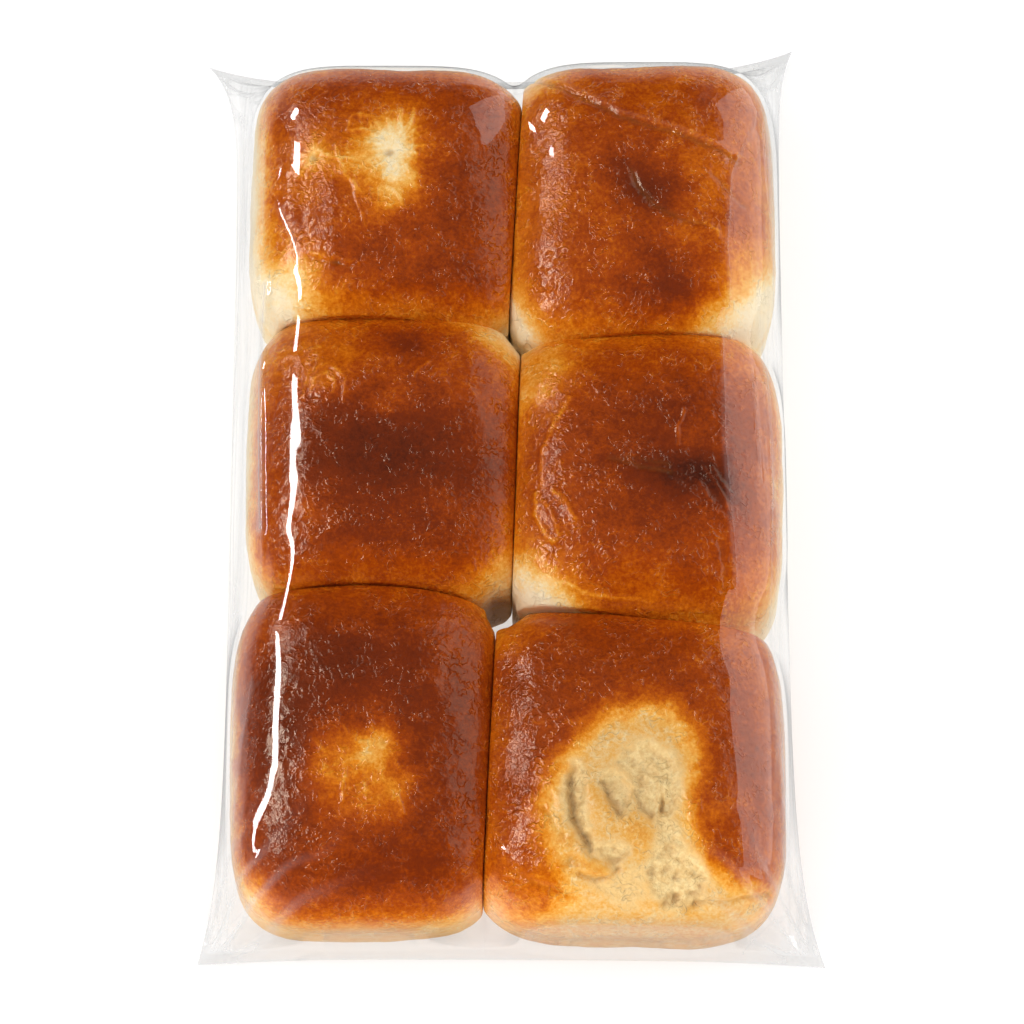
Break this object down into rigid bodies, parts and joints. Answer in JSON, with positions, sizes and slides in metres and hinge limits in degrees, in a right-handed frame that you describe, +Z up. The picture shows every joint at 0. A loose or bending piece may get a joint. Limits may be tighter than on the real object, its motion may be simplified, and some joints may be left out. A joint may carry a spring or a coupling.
{
  "type": "sealed bag of bread rolls",
  "caption": "Clear sealed film bag lying flat, tight over soft golden-brown bread rolls baked touching in one block, ready to carry, open and pull apart.",
  "frame": {"origin": "on the surface that the pack lies on, at the middle of its footprint", "axes": "+Z up through the crowns, +Y along the bag's length to its back seal, +X across its width to the right"},
  "size_m": [0.1834, 0.2876, 0.0524],
  "materials": {
    "bread_crust": "baked, glazed brown on top and pale on the sides",
    "clear_film": "clear and glossy"
  },
  "bodies": {
    "root": {"bag_of_rolls": "bread_crust"}
  },
  "joints": []
}
